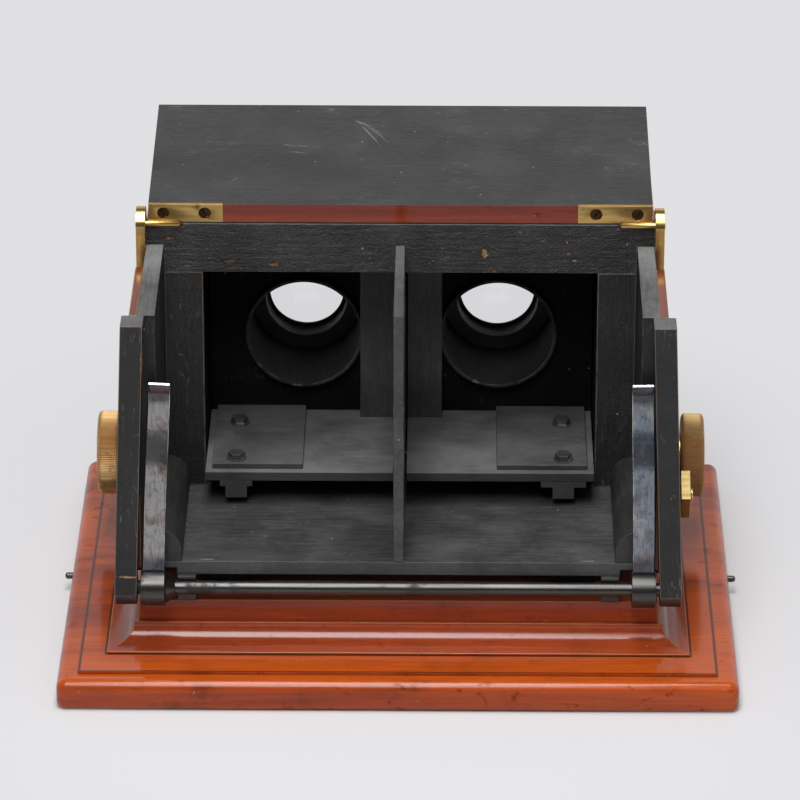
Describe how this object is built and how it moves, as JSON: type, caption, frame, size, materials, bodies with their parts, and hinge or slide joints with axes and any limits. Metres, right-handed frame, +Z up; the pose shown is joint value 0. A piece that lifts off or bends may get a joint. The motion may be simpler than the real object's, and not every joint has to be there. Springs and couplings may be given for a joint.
{
  "type": "table stereoscope",
  "caption": "Table stereoscope: an open card box on a moulded base, hinged lid, sprung card clip, and lens tubes on sliding carriages moved by a rack and pinion.",
  "frame": {"origin": "centre of the underside of the base", "axes": "+Z up, +X to the user's left at the eyepieces, -Y towards the card end, +Y towards the eyepieces"},
  "size_m": [0.246, 0.188, 0.162],
  "materials": {
    "mahogany": "french polished",
    "black_wood": "matt black paint, worn",
    "black_iron": "matt black",
    "brass": "aged lacquer",
    "steel": "blued and worn",
    "glass": "polished"
  },
  "bodies": {
    "box": {"bearers": "black_wood", "floor_board": "black_wood", "side_wall_l": "black_wood", "side_wall_r": "black_wood", "post_l": "black_wood", "post_r": "black_wood", "top_rail": "black_wood", "top_board": "black_wood", "septum": "black_wood", "outer_panels": "black_wood", "corner_blocks": "black_wood", "chamber_walls": "black_wood", "eye_board": "black_wood", "base_board": "mahogany", "base_moulding": "mahogany", "base_riser": "mahogany", "side_cheek_l": "mahogany", "side_cheek_r": "mahogany", "rod_saddles": "black_iron", "shaft_bushes": "brass", "clamp_stud": "brass", "hinge_cheek_l": "brass", "hinge_cheek_r": "brass", "cheek_screws": "brass", "catch_pins": "steel", "rod_bushes": "steel"},
    "lid": {"lid": "black_wood", "hinge_strap_l": "brass", "hinge_strap_r": "brass", "hinge_screws": "black_iron"},
    "focus": {"focus_shaft": "steel", "pinions": "brass", "knob_l": "brass", "knob_r": "brass"},
    "carriage_left": {"carriage_plate_l": "black_iron", "doubler_l": "black_iron", "rack_l": "black_iron", "plate_bolts_l": "black_iron", "lens_board_l": "black_iron", "lens_tube_l": "black_iron", "lens_cell_l": "black_iron", "lens_l": "glass", "eyecup_l": "black_iron", "light_blind_l": "black_wood"},
    "carriage_right": {"carriage_plate_r": "black_iron", "doubler_r": "black_iron", "rack_r": "black_iron", "plate_bolts_r": "black_iron", "lens_board_r": "black_iron", "lens_tube_r": "black_iron", "lens_cell_r": "black_iron", "lens_r": "glass", "eyecup_r": "black_iron", "light_blind_r": "black_wood"},
    "clip": {"clip_rod": "steel", "clip_collar_l": "steel", "clip_collar_r": "steel", "clip_spring_l": "steel", "clip_spring_r": "steel"},
    "clamp": {"clamp_nut": "brass"}
  },
  "joints": [
    {"name": "lid_hinge", "type": "hinge", "parent": "box", "child": "lid", "pos_m": [0, -0.0002, 0.1467], "axis": [1, 0, 0], "range_deg": [0, 174.4]},
    {"name": "focus_turn", "type": "hinge", "parent": "box", "child": "focus", "pos_m": [0, 0.0269, 0.0445], "axis": [1, 0, 0], "range_deg": [-150, 150]},
    {"name": "carriage_left_slide", "type": "slide", "parent": "box", "child": "carriage_left", "axis": [0, 1, 0], "range_m": [-0.00785, 0.00785]},
    {"name": "carriage_right_slide", "type": "slide", "parent": "box", "child": "carriage_right", "axis": [0, 1, 0], "range_m": [-0.0079, 0.0079]},
    {"name": "clip_swing", "type": "hinge", "parent": "box", "child": "clip", "pos_m": [0, -0.0673, 0.0354], "axis": [1, 0, 0], "range_deg": [0, 95]},
    {"name": "clamp_turn", "type": "hinge", "parent": "box", "child": "clamp", "pos_m": [0.1009, -0.02, 0.0505], "axis": [1, 0, 0], "range_deg": [-180, 180]}
  ],
  "couplings": [
    {"joint": "focus_turn", "follows": "carriage_left_slide", "rad_per_m": -333.33},
    {"joint": "carriage_right_slide", "follows": "carriage_left_slide", "ratio": 1}
  ]
}
